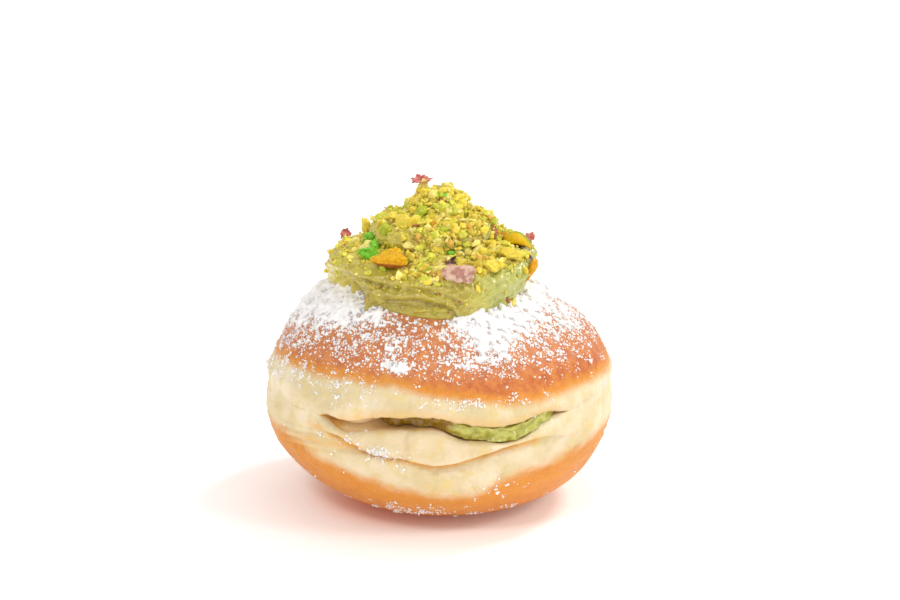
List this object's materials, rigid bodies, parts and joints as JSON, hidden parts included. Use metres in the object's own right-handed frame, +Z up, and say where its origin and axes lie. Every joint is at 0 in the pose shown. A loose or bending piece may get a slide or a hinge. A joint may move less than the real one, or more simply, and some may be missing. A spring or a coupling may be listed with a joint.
{
  "type": "filled doughnut",
  "caption": "Tall round doughnut with a slit belt, a cream filling showing in the slit, and a nut-strewn cream swirl on its crown.",
  "frame": {"origin": "middle of the outline, on the surface that the bun stands on", "axes": "+Z up through the swirl's tip, -Y out of the slit at the front, +X to the right seen from the front"},
  "size_m": [0.0899, 0.0907, 0.0839],
  "materials": {
    "dough": "soft fried dough: golden brown crown and bottom, pale cream-yellow belt, icing sugar on the crown",
    "filling_cream": "moist nut cream, light olive green",
    "swirl_cream": "moist nut cream, light olive green, strewn with yellow-green crumbs and dried petals",
    "green_nut": "dry nut kernel, yellow-green with a purple-brown skin",
    "golden_nut": "dry nut sliver, golden orange"
  },
  "bodies": {
    "root": {"bun": "dough", "filling": "filling_cream", "cream": "swirl_cream", "nut_kernel": "green_nut", "nut_slice": "golden_nut"}
  },
  "joints": []
}
